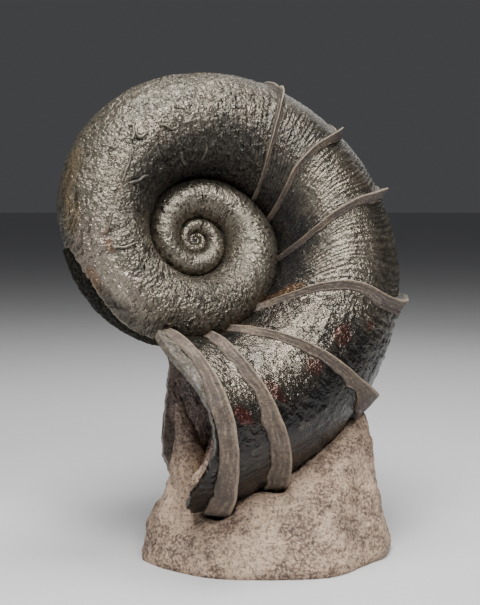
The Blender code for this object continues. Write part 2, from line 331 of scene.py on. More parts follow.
def slanting_line_group():
    """Turn of a slanting line round the tube."""
    tree, given = new_tree(
        'Slanting line', 'GeometryNodeTree',
        {'Around': 0.0} | {name: 0.0 for name in LINE_NAMES}, {'Turn': 0.0})
    around = given['Around']
    line = given['Turn'] - given['Slant'] * around.maths('COSINE')
    line += given['Bow'] * (around * 2.0).maths('COSINE')
    line += given['Third'] * (around * 3.0).maths('COSINE')
    line -= given['Side'] * around.maths('SINE')
    return finish_tree(tree, Turn=line)


def placed_line(tree, line_group, around, given, side):
    """Turn of the line whose inputs start with the given word."""
    values = {name: given[f'{side} {name}'] for name in LINE_NAMES}
    return place_group(tree, line_group, Around=around, **values)['Turn']


def mouth_edge_group(line_group):
    """Turn of the mouth's edge, without its lower lobe and with it."""
    tree, given = new_tree(
        'Mouth edge', 'GeometryNodeTree', {'Around': 0.0}, {'Collar Limit': 0.0, 'Edge': 0.0})
    around = given['Around']
    line = place_group(tree, line_group, Around=around, **dict(zip(LINE_NAMES, MOUTH_LINE)))['Turn']
    lobes = []
    for middle, half_width, reach in (LOWER_LOBE, UPPER_LOBE, FAR_LOBE, FAR_NOTCH):
        off = ((around - middle).maths('COSINE') - 1.0) * (2.0 / half_width ** 2)
        lobes.append(off.maths('EXPONENT') * reach)
    limit = line + lobes[1] + lobes[2] + lobes[3]
    return finish_tree(tree, Collar_Limit=limit, Edge=limit + lobes[0])


def grid_steps(tree, steps_along, steps_around):
    """Grid of vertices and its two counts as fields from 0 to 1."""
    grid = then(tree, 'MeshGrid', None, Size_X=1.0, Size_Y=1.0,
                Vertices_X=steps_along, Vertices_Y=steps_around)
    across, up, _ = parts(point_place(tree))
    return grid, across + 0.5, up + 0.5


def rounded_end(step, part):
    """Closes a tube to a round pole over the given part of its steps."""
    rest = 1.0 - (step / part).clamp()
    return (1.0 - rest * rest).maths('SQRT')


def store(tree, geometry, name, value, kind='FLOAT_VECTOR', domain='CORNER'):
    return then(tree, 'StoreNamedAttribute', geometry,
                {'data_type': kind, 'domain': domain}, Name=name, Value=value)


SEAM_WELD = 0.000004


def dress(tree, geometry, material):
    """Shades a mesh smooth and gives it its material."""
    geometry = then(tree, 'SetShadeSmooth', geometry)
    geometry = then(tree, 'RealizeInstances', geometry)
    return then(tree, 'SetMaterial', geometry, Material=material)


def close_mesh(tree, geometry, material):
    """Welds the seams of a mesh swept from a grid, and dresses it."""
    return dress(tree, then(tree, 'MergeByDistance', geometry, Distance=SEAM_WELD), material)


# Sizes of a stretch of shell: its mesh, its ends, then the height of each kind of relief
SHELL_INPUTS = {
    'Steps Along': 400, 'Steps Around': 250, 'Crowding': 1.0, 'From': 0.0, 'To': 0.0,
    'Rounded Start': 0.001, 'Rounded End': 0.001, 'Outside Part': 1.0, 'Lip Thickness': 0.003,
    'Lining Turn': 0.0, 'Edge Wear': 0.0, 'Mouth': 0.0,
    'Dents': 0.0009, 'Wrinkles': 0.00085, 'Riblets': 0.00031, 'Worms': 0.0010, 'Foil': 0.0009,
    'Scratches': 0.0006, 'Ribs': 0.010, 'Fine Ribs': 0.00014, 'Flakes': 0.0030, 'Layer Edge': 0.0006,
    'Break Depth': 0.0030,
}


RIBLET_SPACING = 0.0026
RIBS_PER_TURN = 15.0
FINE_RIBS_PER_TURN = 84.0


def shell_relief(tree, given, base, turn, around, along, across, half):
    """Height of the shell's relief, the same without its large shapes, and the mask of its break."""
    dents = noise(base, 30.0, 2.0) * given['Dents'] * 2.0
    coat = vector(tree, along, across * 0.55)
    wrinkled = turn.ramp(1.15, 1.35) * turn.ramp(1.84, 1.66, 0.35, 1.0) * turn.ramp(1.90, 1.84)
    wrinkles = ridges(warp(coat, 80.0, 0.012), 150.0, 4.0, 3.6) - 0.4 + noise(coat, 230.0, 4.0, 0.65) * 1.2
    wrinkles *= wrinkled * given['Wrinkles']

    lines = vector(tree, along, across * 0.12)
    wander = noise(warp(lines, 60.0, 0.006), 75.0, 3.0) * 0.012
    beads = noise(vector(tree, along * 0.6, across), 330.0, 2.0, 0.6).ramp(-0.22, 0.10, 0.15, 1.0)
    riblets = ((along + wander) * (2.0 * pi / RIBLET_SPACING)).maths('SINE') * beads
    riblets *= turn.ramp(1.50, 1.70, 0.35, 1.0) * turn.ramp(2.16, 2.06, 0.20, 1.0) * given['Riblets']
    riblets *= turn.ramp(0.5, 1.0)

    zone = turn.ramp(1.28, 1.40) * turn.ramp(1.82, 1.74) * around.ramp(0.1, 0.5) * around.ramp(2.75, 2.2)
    zone *= noise(base, 28.0, 1.0).ramp(-0.16, 0.10)
    worms = ridges(warp(base, 70.0, 0.010), 105.0, 1.0, 6.0).ramp(0.0, 1.0) * zone * given['Worms']

    foil = ridges(warp(base, 70.0, 0.010), 85.0, 2.0, 5.0) - 0.55
    foil += noise(base, 120.0, 2.0, 0.5) * 1.1
    foil *= turn.ramp(2.04, 2.14, 0.20, 1.0) * turn.ramp(1.80, 1.90) * given['Foil']

    low = turn.ramp(2.10, 2.17) * (abs(around) + noise(base, 30.0, 1.0) * 0.6).ramp(1.45, 0.95)
    scratches = ridges(warp(vector(tree, along * 0.14, across), 80.0, 0.004), 190.0, 3.0, 4.0) - 0.35
    scratches *= low * given['Scratches']
    foil *= 1.0 - low * 0.6

    ribs = (turn * 2.0 * pi * RIBS_PER_TURN + noise(base, 70.0, 1.0) * 4.0).maths('SINE').ramp(-1.0, 1.0)
    ribs *= turn.ramp(1.08, 0.80) * given['Ribs'] * half
    fine_ribs = (turn * 2.0 * pi * FINE_RIBS_PER_TURN + noise(base, 60.0, 2.0) * 9.0).maths('SINE')
    fine_ribs *= turn.ramp(0.60, 0.95) * turn.ramp(1.45, 1.25) * given['Fine Ribs']

    ragged = noise(base, 85.0, 4.0, 0.65)
    turn_worn = turn + ragged * 0.020
    edge = turn.ramp(1.380, 1.430, radians(18.0), radians(28.0)) - turn.ramp(1.470, 1.506) * radians(9.0)
    edge += ragged * radians(16.0)
    stretch = turn_worn.ramp(1.506, 1.502) * turn_worn.ramp(1.20, 1.26)
    broken = (edge - around).ramp(-0.010, 0.022) * (around + ragged * 0.5).ramp(-1.25, -1.15) * stretch
    layer_edge = (around - edge).ramp(0.085, 0.010) * (around + 0.3).ramp(0.0, 0.1) * stretch * (1.0 - broken)
    peeled = turn_worn.ramp(1.555, 1.512) * turn_worn.ramp(1.502, 1.505)
    peeled *= (around + ragged * 0.4).ramp(0.60, 0.36) * (around + ragged * 0.4).ramp(-0.80, -0.60)
    rough = noise(base, 150.0, 4.0, 0.7)
    damage = given['Break Depth'] * (broken * (rough * 1.3 + 0.28) + peeled * (rough * 0.3 + 0.8))
    flaking = turn.ramp(1.34, 1.39) * turn.ramp(1.52, 1.46) * (around - edge).ramp(0.0, 0.1)
    flaking *= (around + ragged * 0.8).ramp(1.25, 0.85)
    flakes = noise(warp(base, 90.0, 0.006), 130.0, 4.0, 0.7) * flaking * given['Flakes']
    small = wrinkles + riblets + worms + foil + scratches + fine_ribs + flakes
    lift = dents + ribs + small + layer_edge * given['Layer Edge'] - damage
    return lift, small, broken.maths('MAXIMUM', layer_edge * 0.14)


def shell_tree(growth, tube_point, line_group, mouth_edge, material):
    """Stretch of the shell from one slanting line to another, with its relief."""
    lines = {f'{side} {name}': 0.0 for side in ('Start', 'End') for name in LINE_NAMES}
    tree, given = new_shape_tree('Shell stretch', SHELL_INPUTS | lines)
    grid, step, round_step = grid_steps(tree, given['Steps Along'], given['Steps Around'])
    around = (round_step * 2.0 - 1.0) * pi

    outer_step = (step / given['Outside Part']).clamp()
    inner_step = ((step - given['Outside Part']) / (1.0 - given['Outside Part']).maths('MAXIMUM', 0.000001))
    inner_step = inner_step.clamp()
    crowding = given['Crowding']
    near = (given['From'] * crowding).maths('EXPONENT')
    far = (given['To'] * crowding).maths('EXPONENT')
    growth_line = (near + (far - near) * outer_step).maths('LOGARITHM', e) / crowding
    share = ((growth_line - given['Start Turn']) / (given['End Turn'] - given['Start Turn'])).clamp()
    first = placed_line(tree, line_group, around, given, 'Start')
    last = placed_line(tree, line_group, around, given, 'End')
    last += (place_group(tree, mouth_edge, Around=around)['Edge'] - last) * given['Mouth']
    turn = growth_line + (first - given['Start Turn']) * (1.0 - share) + (last - given['End Turn']) * share

    flat = place_group(tree, tube_point, Turn=turn, Around=around)
    grown = place_group(tree, growth, Turn=growth_line)
    along = grown['Distance'] * (2.0 * pi / log(GROWTH_PER_TURN))
    across = around * flat['Half Height']
    lift, small, broken = shell_relief(
        tree, given, flat['Position'], growth_line, around, along, across, flat['Half Height'])

    bitten = noise(flat['Position'], 120.0, 4.0, 0.6) * given['Edge Wear']
    turn += bitten * outer_step.ramp(0.965, 1.0)
    inward = ((inner_step - 0.12) / 0.75).clamp()
    turn += (given['Lining Turn'] - turn) * inward
    lining = inner_step.ramp(0.0, 0.12)
    lift = lift * (1.0 - lining * 0.7) - lining * given['Lip Thickness']
    part = rounded_end(step, given['Rounded Start']) * rounded_end(1.0 - step, given['Rounded End'])
    shaped = place_group(tree, tube_point, Turn=turn, Around=around, Lift=lift, Part=part)

    geometry = store(tree, grid, 'UVMap', vector(tree, along, across), 'FLOAT2')
    geometry = store(tree, geometry, 'place', vector(tree, growth_line, around, broken))
    rim = share.ramp(0.905, 0.925) * around.ramp(1.55, 1.85) * given['Mouth']
    geometry = store(tree, geometry, 'wear', vector(tree, small * 1000.0, lining, rim))
    geometry = then(tree, 'SetPosition', geometry, Position=shaped['Position'])
    return finish_tree(tree, Geometry=close_mesh(tree, geometry, material))


# Section of a collar from its back foot over the crest to its front foot: step along the section,
# place along the shell (in crest widths behind the crest, in ramp lengths before it), height
COLLAR_SECTION = (
    (0.00, -1.30, -0.30),
    (0.07, -0.95, 0.02),
    (0.16, -0.60, 0.34),
    (0.25, -0.45, 0.78),
    (0.31, -0.30, 0.95),
    (0.36, -0.08, 1.00),
    (0.41, 0.06, 0.95),
    (0.48, 0.16, 0.80),
    (0.57, 0.33, 0.60),
    (0.66, 0.52, 0.44),
    (0.73, 0.68, 0.31),
    (0.77, 0.77, 0.20),
    (0.82, 0.87, 0.23),
    (0.87, 0.97, 0.16),
    (0.92, 1.04, -0.30),
    (1.00, -1.30, -0.30),
)
SECTION_REACH = 2.5
SECTION_OFFSET = 0.55


def section_curve(tree, step, column):
    """One column of the collar's section, read off at a step."""
    node = tree.nodes.new('ShaderNodeFloatCurve')
    curve = node.mapping.curves[0]
    rows = [(row[0], row[column] / SECTION_REACH + SECTION_OFFSET) for row in COLLAR_SECTION]
    curve.points[0].location = rows[0]
    curve.points[1].location = rows[-1]
    for row in rows[1:-1]:
        curve.points.new(*row)
    for point in curve.points:
        point.handle_type = 'VECTOR' if column == 1 else 'AUTO_CLAMPED'
    node.mapping.update()
    put(node.inputs['Value'], step)
    return (Field(node.outputs[0]) - SECTION_OFFSET) * SECTION_REACH


def collar_tree(tube_point, line_group, mouth_edge, material):
    """One flared collar: its section swept round the tube, ragged along its crest."""
    inputs = {
        'Steps Around': 420, 'Section Steps': 30, 'Seed': 0.0, 'Ramp': 0.010, 'Crest': 0.003,
        'Height': COLLAR_HEIGHT, 'Height Outside': COLLAR_HEIGHT_OUTSIDE, 'Raggedness': 0.16,
        'Tip Angle': 0.0, 'Tip Rise': 0.0, 'Past Tip': 1.0, 'Widening': 0.0,
    }
    tree, given = new_shape_tree('Flared collar', inputs | {name: 0.0 for name in LINE_NAMES})
    grid, round_step, step = grid_steps(tree, given['Steps Around'], given['Section Steps'])
    around = (round_step * 2.0 - 1.0) * pi
    line = place_group(tree, line_group, Around=around, **{name: given[name] for name in LINE_NAMES})['Turn']
    flat = place_group(tree, tube_point, Turn=line, Around=around)
    seat = vector_maths('ADD', flat['Position'], vector(tree, 0.0, 0.0, given['Seed']))
    wave = noise(seat, 38.0, 2.0)
    chips = noise(seat, 240.0, 3.0, 0.65)
    along_share = section_curve(tree, step, 1)
    wider = given['Widening'] * abs(around).ramp(0.95, 0.30) + 1.0
    along = along_share.maths('MAXIMUM', 0.0) * given['Ramp'] * (1.0 + wave * 1.2) * wider
    along += along_share.maths('MINIMUM', 0.0) * given['Crest'] + wave * 0.0028
    height = given['Height'] + given['Height Outside'] * around.maths('COSINE')
    past = around - given['Tip Angle'] + chips * 0.12
    height *= 1.0 - past.ramp(0.02, -0.16) * past.ramp(-2.6, -2.0) * (1.0 - given['Past Tip'])
    height += given['Tip Rise'] * past.ramp(0.55, 0.0) * past.ramp(-0.12, 0.02)
    height *= flat['Half Height']
    raised = section_curve(tree, step, 2)
    above = raised.maths('MAXIMUM', 0.0)
    raised += (above.maths('POWER', 0.45) - above) * (wider - 1.0).clamp() * along_share.ramp(0.0, 0.3)
    ragged = raised.ramp(0.4, 1.0) * given['Raggedness'] * (chips + wave - 0.35)
    lift = height * raised * (1.0 + ragged)
    turn = line + along / (flat['Distance'] * (2.0 * pi))
    limit = place_group(tree, mouth_edge, Around=around)['Collar Limit']
    gone = (line - limit).ramp(-0.006, -0.001)
    lift = lift * (1.0 - gone) - gone * 0.0015
    turn = turn.maths('MINIMUM', limit - 0.0004)
    grain = noise(vector_maths('ADD', seat, vector(tree, along, lift)), 330.0, 3.0, 0.7) * 0.0009
    shaped = place_group(tree, tube_point, Turn=turn, Around=around, Lift=lift + grain)
    length = around * flat['Half Height']
    geometry = store(tree, grid, 'UVMap', vector(tree, length, step * 0.03), 'FLOAT2')
    geometry = store(tree, geometry, 'place', vector(tree, line, around, step))
    geometry = then(tree, 'SetPosition', geometry, Position=shaped['Position'])
    return finish_tree(tree, Geometry=close_mesh(tree, geometry, material))


# Thin raised casts of worm tubes on the whorl: radius in metres, then turns and angles in degrees
WORM_CASTS = (
    (0.001125, (1.632, 80), (1.628, 84), (1.631, 88), (1.638, 89), (1.645, 88)),
    (0.001, (1.631, 70), (1.635, 72), (1.634, 75), (1.630, 77), (1.627, 81), (1.620, 82)),
    (0.001, (1.607, 87), (1.598, 91), (1.588, 93), (1.577, 92), (1.567, 93), (1.560, 92)),
    (0.00075, (1.578, 90), (1.571, 89), (1.564, 88)),
    (0.001, (1.562, 101), (1.570, 106), (1.578, 112), (1.589, 114), (1.598, 119)),
    (0.001125, (1.506, 83), (1.499, 81), (1.490, 79), (1.481, 74), (1.479, 70), (1.481, 67)),
    (0.00075, (1.463, 60), (1.461, 65), (1.461, 69)),
    (0.000875, (1.462, 75), (1.455, 75), (1.455, 82), (1.452, 87), (1.452, 94), (1.456, 105)),
    (0.00075, (1.472, 94), (1.476, 102)),
    (0.000875, (1.664, 90), (1.674, 95), (1.679, 101), (1.686, 101)),
    (0.00075, (1.692, 122), (1.703, 127), (1.706, 126)),
    (0.001, (1.738, 125), (1.742, 131), (1.739, 137), (1.736, 142)),
    (0.001375, (1.686, 126), (1.686, 134), (1.695, 141)),
)


# How worm casts read in the shell's wear attribute: height of relief, lining, rim
CAST_WEAR = (0.8, 0.0, 0.48)


def worm_cast_tree(tube_point, material):
    """Round cast swept along a line given as turn and angle, its foot sunk into the shell."""
    tree, given = new_shape_tree(
        'Worm casts', {'Geometry': 'Geometry', 'Points': 26, 'Radius': 0.001, 'Relief Below': 0.0008})
    line = then(tree, 'MeshToCurve', None, Mesh=given['Geometry'])
    line = then(tree, 'ResampleCurve', None, Curve=line, Count=given['Points'])
    turn, around, _ = parts(point_place(tree))
    height = given['Radius'] * 0.6 + given['Relief Below']
    shaped = place_group(tree, tube_point, Turn=turn, Around=around, Lift=height)
    line = store(tree, line, 'place', vector(tree, turn, around), domain='POINT')
    line = store(tree, line, 'wear', CAST_WEAR, domain='POINT')
    line = then(tree, 'SetPosition', line, Position=shaped['Position'])
    share = Field(tree.nodes.new('GeometryNodeSplineParameter').outputs['Factor']) * 2.0 - 1.0
    thick = (1.0 - share * share).maths('SQRT') * (noise(shaped['Position'], 300.0) * 0.7 + 1.0)
    line = then(tree, 'SetCurveRadius', None, Curve=line, Radius=thick.maths('MAXIMUM', 0.05))
    profile = then(tree, 'CurvePrimitiveCircle', None, Resolution=8, Radius=given['Radius'])
    geometry = then(tree, 'CurveToMesh', None, Curve=line, Profile_Curve=profile, Fill_Caps=True)
    geometry = store(tree, geometry, 'UVMap', shaped['Position'], 'FLOAT2')
    return finish_tree(tree, Geometry=close_mesh(tree, geometry, material))


# Grooves in the mouth's fill, in parts of the mouth's half width: middle, lean, width; depth
FILL_GROOVES = ((-0.79, 0.69, 0.07, 1.0), (-0.53, 0.30, 0.035, 0.35), (-0.25, 0.25, 0.04, 0.3))


def fill_tree(tube_point, material):
    """Hardened mud that closes the mouth's hollow, with its slit and its ridges."""
    tree, given = new_shape_tree(
        'Mouth fill', {'Rings': 90, 'Steps Around': 260, 'Turn': 2.236, 'Slit': 0.014, 'Roughness': 0.010})
    grid, round_step, ring = grid_steps(tree, given['Steps Around'], given['Rings'])
    around = (round_step * 2.0 - 1.0) * pi
    across, outward = ring * around.maths('SINE'), ring * around.maths('COSINE')
    face = vector(tree, across, outward * 0.35)
    turn = given['Turn'] + noise(face, 4.5, 4.0, 0.6) * given['Roughness']
    turn += ridges(face, 5.0, 2.0, 6.0) * 0.004
    turn += (outward - across * 0.3).ramp(0.10, 0.75) * 0.014
    turn += (across * 0.9 + outward * 0.44).ramp(0.45, 0.88) * 0.018
    turn += (across + outward * 0.2).ramp(-0.35, -0.85) * outward.ramp(0.10, -0.25) * 0.014
    for middle, lean, width, depth in FILL_GROOVES:
        off = abs((across - outward * lean - middle) / width)
        turn -= off.ramp(1.0, 0.3) * given['Slit'] * depth
    turn -= ring.ramp(0.90, 1.0) * 0.010
    shaped = place_group(tree, tube_point, Turn=turn, Around=around, Lift=-0.001, Part=ring)
    geometry = store(tree, grid, 'UVMap', vector(tree, across * 0.06, outward * 0.06), 'FLOAT2')
    geometry = store(tree, geometry, 'place', vector(tree, across, outward))
    geometry = then(tree, 'SetPosition', geometry, Position=shaped['Position'])
    return finish_tree(tree, Geometry=close_mesh(tree, geometry, material))


def rock_tree(material):
    """Roughens a rock's surface; its flat underside stays flat."""
    tree, given = new_shape_tree('Rock relief', {'Geometry': 'Geometry', 'Lumps': 0.0030, 'Pits': 0.0018})
    place = point_place(tree)
    normal = Field(tree.nodes.new('GeometryNodeInputNormal').outputs[0])
    height = parts(place)[2]
    lumps = (noise(place, 26.0, 3.0) - 0.04) * given['Lumps'] * 2.0
    pits = noise(warp(place, 120.0, 0.004), 190.0, 4.0, 0.65) * given['Pits'] * 2.0
    pits += (cells(warp(place, 90.0, 0.006), 95.0) - 0.4) * given['Pits'] * 1.2
    push = vector_maths('SCALE', normal, (lumps + pits) * height.ramp(0.001, 0.006))
    geometry = then(tree, 'SetPosition', given['Geometry'], Offset=push)
    return finish_tree(tree, Geometry=dress(tree, geometry, material))


def new_object(name, data):
    thing = bpy.data.objects.new(name, data)
    bpy.context.scene.collection.objects.link(thing)
    return thing


def plain_mesh(source):
    """Mesh of an object as its modifiers shape it; the object itself is removed."""
    bpy.context.view_layer.update()
    graph = bpy.context.evaluated_depsgraph_get()
    mesh = bpy.data.meshes.new_from_object(source.evaluated_get(graph))
    bpy.data.objects.remove(source)
    return mesh


def grow(name, tree, base=None, **inputs):
    """Plain mesh of what a geometry tree makes from its inputs."""
    source = new_object(name + '_source', base or bpy.data.meshes.new(name + '_source'))
    step = source.modifiers.new('tree', 'NODES')
    step.node_group = tree
    for socket in tree.interface.items_tree:
        label = socket.name.replace(' ', '_')
        if socket.item_type == 'SOCKET' and socket.in_out == 'INPUT' and label in inputs:
            step[socket.identifier] = inputs[label]
    mesh = plain_mesh(source)
    mesh.name = name
    return mesh


def keep_inside(mesh):
    """Holds the mesh in the solid part's box."""
    low, high = CAD_BOX
    places = np.empty(len(mesh.vertices) * 3, np.float32)
    mesh.vertices.foreach_get('co', places)
    places = np.clip(places.reshape(-1, 3), np.array(low) + 1e-5, np.array(high) - 1e-5)
    mesh.vertices.foreach_set('co', places.astype(np.float32).ravel())
    mesh.update()


def add_piece(name, mesh, node='ammonite_shell'):
    """Finished piece that rides on the one body and stands for a solid."""
    keep_inside(mesh)
    piece = new_object(name, mesh)
    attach(piece, "root")
    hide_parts(node)


def line_inputs(side, line):
    return {f'{side}_{name}': value for name, value in zip(LINE_NAMES, line)}


def coil_mesh(mesh):
    """Moves a mesh from the coil's own axes to its place."""
    mesh.transform(COIL_MATRIX)
    return mesh


def attribute(tree, name):
    node = tree.nodes.new('ShaderNodeAttribute')
    node.attribute_name = name
    return Field(node.outputs['Vector'])


def surface_place(tree):
    """The piece's own coordinates, in metres."""
    return Field(tree.nodes.new('ShaderNodeTexCoord').outputs['Object'])


def shell_place(tree):
    """Metres along and round the shell's surface."""
    node = tree.nodes.new('ShaderNodeUVMap')
    node.uv_map = 'UVMap'
    return Field(node.outputs[0])


def blend(factor, first, second):
    """Colour between two colours."""
    node = factor.socket.id_data.nodes.new('ShaderNodeMix')
    node.data_type = 'RGBA'
    put(node.inputs['Factor'], factor)
    for socket, item in ((node.inputs[6], first), (node.inputs[7], second)):
        put(socket, item if isinstance(item, Field) else (*item, 1.0))
    return Field(node.outputs[2])


def mottle_group():
    """Cloudy stain from 0 to 1, with its own size, softness and amount."""
    tree, given = new_tree(
        'Mottle', 'ShaderNodeTree',
        {'Place': 'Vector', 'Size': 0.02, 'Level': 0.0, 'Softness': 0.1}, {'Stain': 0.0})
    cloud = noise(warp(given['Place'], 60.0, 0.008), 1.0 / given['Size'], 5.0, 0.6)
    return finish_tree(
        tree, Stain=cloud.ramp(given['Level'] - given['Softness'], given['Level'] + given['Softness']))


def grain_group():
    """Height of a granular stone surface, and the mask of its hollows."""
    tree, given = new_tree(
        'Grain', 'ShaderNodeTree', {'Place': 'Vector', 'Size': 0.001}, {'Height': 0.0, 'Hollows': 0.0})
    scale = 1.0 / given['Size']
    fine = noise(given['Place'], scale, 4.0, 0.7)
    coarse = noise(given['Place'], scale * 0.22, 3.0, 0.6)
    height = fine * 0.5 + coarse
    return finish_tree(tree, Height=height, Hollows=height.ramp(-0.02, -0.16))


def patch_group():
    """Ragged patch round a point of the shell, given as turn and angle."""
    tree, given = new_tree(
        'Patch', 'ShaderNodeTree',
        {'Shell Place': 'Vector', 'Ragged': 0.0, 'Turn': 0.0, 'Around': 0.0, 'Turn Reach': 0.05,
         'Around Reach': 0.3},
        {'Mask': 0.0})
    turn, around, _ = parts(given['Shell Place'])
    off_turn = (turn - given['Turn']) / given['Turn Reach']
    off_around = (around - given['Around']) / given['Around Reach']
    off = (off_turn * off_turn + off_around * off_around).maths('SQRT') + given['Ragged']
    return finish_tree(tree, Mask=off.ramp(1.0, 0.55))


MOTTLE = mottle_group()
GRAIN = grain_group()
PATCH = patch_group()


def new_material(name, **settings):
    """Material with its Principled shader; returns the tree, the shader and the material."""
    material = bpy.data.materials.new(name)
    material.use_nodes = True
    shader = material.node_tree.nodes['Principled BSDF']
    for label, value in settings.items():
        shader.inputs[label.replace('_', ' ')].default_value = value
    return material.node_tree, shader, material


def bump(tree, shader, height, strength, reach):
    node = tree.nodes.new('ShaderNodeBump')
    node.inputs['Strength'].default_value = strength
    node.inputs['Distance'].default_value = reach
    put(node.inputs['Height'], height)
    put(shader.inputs['Normal'], Field(node.outputs[0]))


def stain(tree, place, size, level, softness=0.12):
    return place_group(tree, MOTTLE, Place=place, Size=size, Level=level, Softness=softness)['Stain']


# Colours of the shell
OLIVE_BLACK = (0.014, 0.013, 0.012)
# Slate black is painted shade, laid on the shaded slopes and underside.
SLATE_SHADE = (0.019, 0.019, 0.022)
OLIVE_GREY = (0.051, 0.047, 0.041)
BRONZE = (0.106, 0.088, 0.067)
SILVER_WEAR_AND_HIGHLIGHT = (0.370, 0.326, 0.252)
OCHRE = (0.230, 0.165, 0.085)
ORANGE_BROWN = (0.210, 0.105, 0.040)
MAUVE_PINK = (0.290, 0.225, 0.195)
DARK_RED = (0.125, 0.034, 0.026)
CRIMSON = (0.200, 0.034, 0.032)
INNER_LAYER_AND_SHADE = (0.010, 0.010, 0.008)
OLIVE_BROWN = (0.064, 0.054, 0.037)
PALE_EDGE_AND_HIGHLIGHT = (0.300, 0.250, 0.190)
LIP_PALE = (0.130, 0.108, 0.086)
LIP_GREEN = (0.070, 0.067, 0.043)
LIP_BROWN = (0.200, 0.155, 0.135)
LIP_DARK = (0.050, 0.043, 0.040)
# Coloured patches: colour, turn, angle, reach in turns, reach in radians
SHELL_PATCHES = (
    (OCHRE, 1.531, 0.50, 0.030, 0.40),
    (OCHRE, 1.580, 0.42, 0.040, 0.30),
    (MAUVE_PINK, 1.480, 0.92, 0.055, 0.50),
    (MAUVE_PINK, 1.410, 1.10, 0.045, 0.45),
    (SILVER_WEAR_AND_HIGHLIGHT, 1.440, 1.00, 0.060, 0.35),
    (ORANGE_BROWN, 1.451, 0.60, 0.024, 0.18),
    (ORANGE_BROWN, 1.475, 1.28, 0.014, 0.13),
    (OLIVE_BLACK, 1.430, 0.58, 0.022, 0.22),
    (OLIVE_BLACK, 1.400, 0.55, 0.030, 0.34),
    (OLIVE_BLACK, 1.360, 0.52, 0.034, 0.44),
    (ORANGE_BROWN, 2.063, 2.60, 0.016, 0.30),
    (ORANGE_BROWN, 2.138, 2.72, 0.012, 0.25),
    (DARK_RED, 2.128, 1.57, 0.013, 0.16),
    (DARK_RED, 2.167, 1.62, 0.011, 0.14),
    (DARK_RED, 2.206, 1.66, 0.008, 0.20),
    (DARK_RED, 2.107, 1.24, 0.006, 0.07),
    (CRIMSON, 2.238, 1.50, 0.007, 0.16),
)


